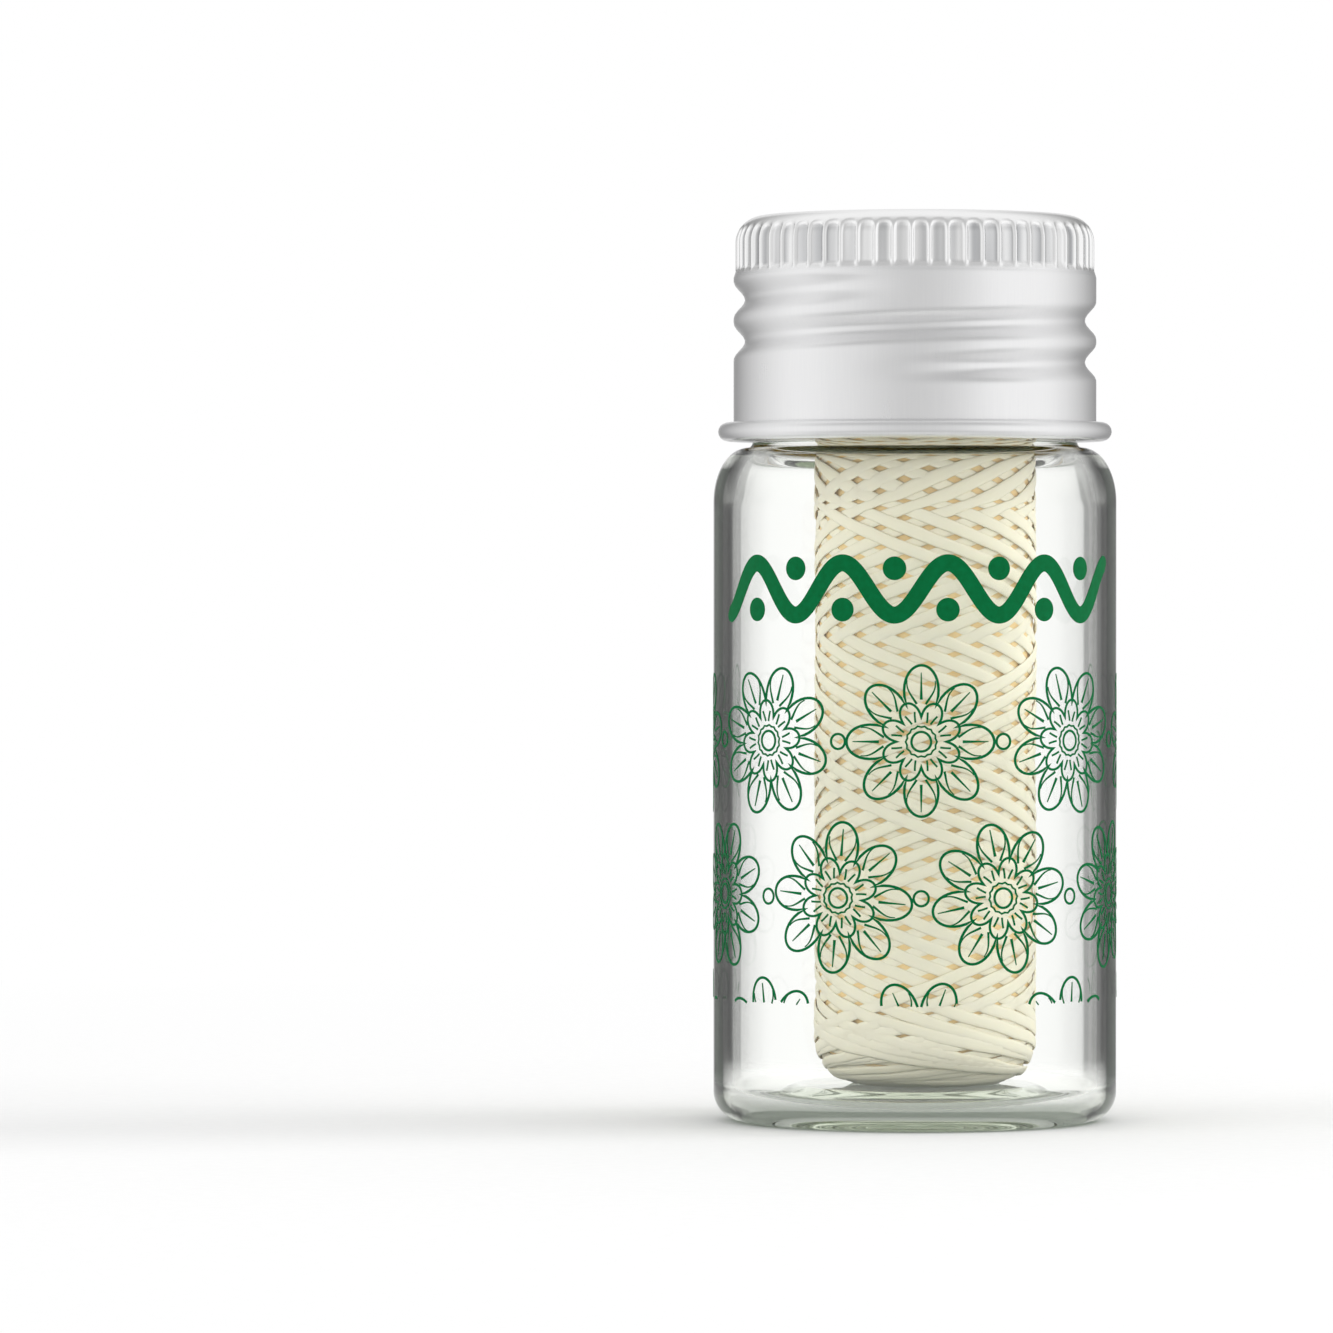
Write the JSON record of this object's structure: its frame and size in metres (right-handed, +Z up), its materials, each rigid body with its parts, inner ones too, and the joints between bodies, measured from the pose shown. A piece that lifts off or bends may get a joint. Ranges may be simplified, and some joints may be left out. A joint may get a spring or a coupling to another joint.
{
  "type": "dental floss dispenser",
  "caption": "Refillable dental floss dispenser: a clear glass bottle with an aluminium screw cap that holds the floss outlet and cutter, and a loose cross-wound bobbin of floss inside.",
  "frame": {"origin": "middle of the base, on the surface that the bottle stands on", "axes": "+Z up along the axis of the bottle and cap; the picture looks along +Y, with +X to its right"},
  "size_m": [0.03, 0.03, 0.0679],
  "materials": {
    "clear_glass": "clear, smooth, slightly green",
    "cap_aluminium": "satin",
    "seal_foam": "fine closed foam",
    "cutter_steel": "stamped, fine brushed",
    "eyelet_aluminium": "bright, pressed",
    "inner_floss": "wound fibre",
    "outer_floss": "waxed fibre"
  },
  "bodies": {
    "bottle": {"glass_bottle": "clear_glass"},
    "bobbin": {"floss_core": "inner_floss", "floss_winding": "outer_floss"},
    "seal": {"cap_seal": "seal_foam"},
    "cap": {"cap_shell": "cap_aluminium", "cutter_plate": "cutter_steel", "outlet_eyelet": "eyelet_aluminium"}
  },
  "joints": [
    {"name": "bobbin_turn", "type": "hinge", "parent": "bottle", "child": "bobbin", "pos_m": [0.0008, 0, 0.0027], "axis": [0, 0, 1], "continuous": true},
    {"name": "cap_rise", "type": "slide", "parent": "bottle", "child": "seal", "axis": [0, 0, 1], "range_m": [0, 0.01644]},
    {"name": "cap_turn", "type": "hinge", "parent": "seal", "child": "cap", "pos_m": [0, 0, 0.067], "axis": [0, 0, 1], "range_deg": [0, 1908]}
  ],
  "couplings": [
    {"joint": "cap_rise", "follows": "cap_turn", "m_per_rad": 0.00049338}
  ]
}
